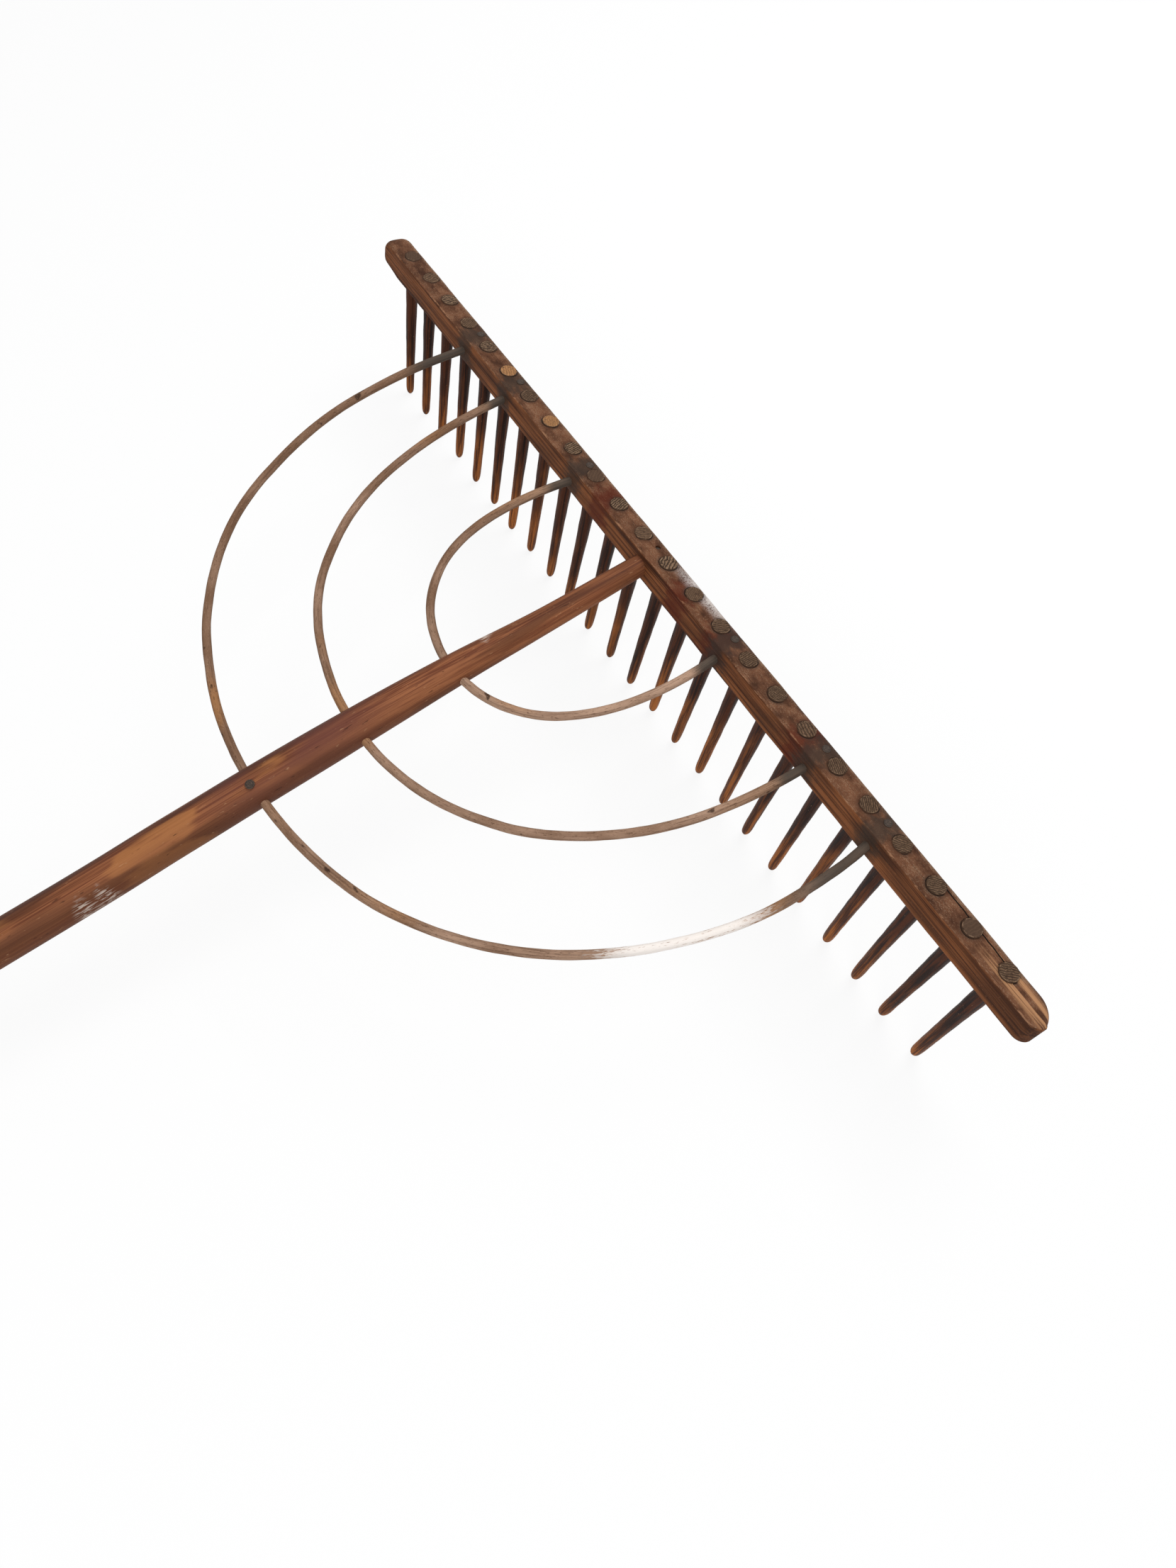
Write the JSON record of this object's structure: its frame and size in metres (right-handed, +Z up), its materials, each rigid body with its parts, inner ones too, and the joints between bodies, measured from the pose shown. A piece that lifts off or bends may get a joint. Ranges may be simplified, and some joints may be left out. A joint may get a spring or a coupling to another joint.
{
  "type": "hay rake",
  "caption": "Wooden hay rake: a bar head with a row of tapered peg tines, a long shaved handle and three bent bows bracing the handle to the head.",
  "frame": {"origin": "on the ground, below the centre of the rake's bounding box, with the rake lying on its tine tips and the butt of its handle", "axes": "+X along the head, +Y from the butt of the handle towards the head, +Z up"},
  "size_m": [0.96, 1.6744, 0.1631],
  "materials": {
    "head_wood": "old weathered hardwood, dusty top and red-brown straight-grained front",
    "handle_wood": "hand-worn red-brown hardwood with traces of old varnish",
    "tine_wood": "dark oiled hardwood pegs, paler and more orange towards the tips",
    "bow_wood": "weathered grey-brown bent rod",
    "nail_iron": "dark oxidised iron nail"
  },
  "bodies": {
    "root": {"head": "head_wood", "handle": "handle_wood", "tine_01": "tine_wood", "tine_02": "tine_wood", "tine_03": "tine_wood", "tine_04": "tine_wood", "tine_05": "tine_wood", "tine_06": "tine_wood", "tine_07": "tine_wood", "tine_08": "tine_wood", "tine_09": "tine_wood", "tine_10": "tine_wood", "tine_11": "tine_wood", "tine_12": "tine_wood", "tine_13": "tine_wood", "tine_14": "tine_wood", "tine_15": "tine_wood", "tine_16": "tine_wood", "tine_17": "tine_wood", "tine_18": "tine_wood", "tine_19": "tine_wood", "tine_20": "tine_wood", "tine_21": "tine_wood", "tine_22": "tine_wood", "tine_23": "tine_wood", "tine_24": "tine_wood", "bow_inner": "bow_wood", "bow_middle": "bow_wood", "bow_outer": "bow_wood", "bow_nail_1": "nail_iron", "bow_nail_2": "nail_iron", "bow_nail_3": "nail_iron", "bow_nail_4": "nail_iron", "bow_nail_5": "nail_iron", "bow_nail_6": "nail_iron", "tenon_nail": "nail_iron", "handle_nail": "nail_iron"}
  },
  "joints": []
}
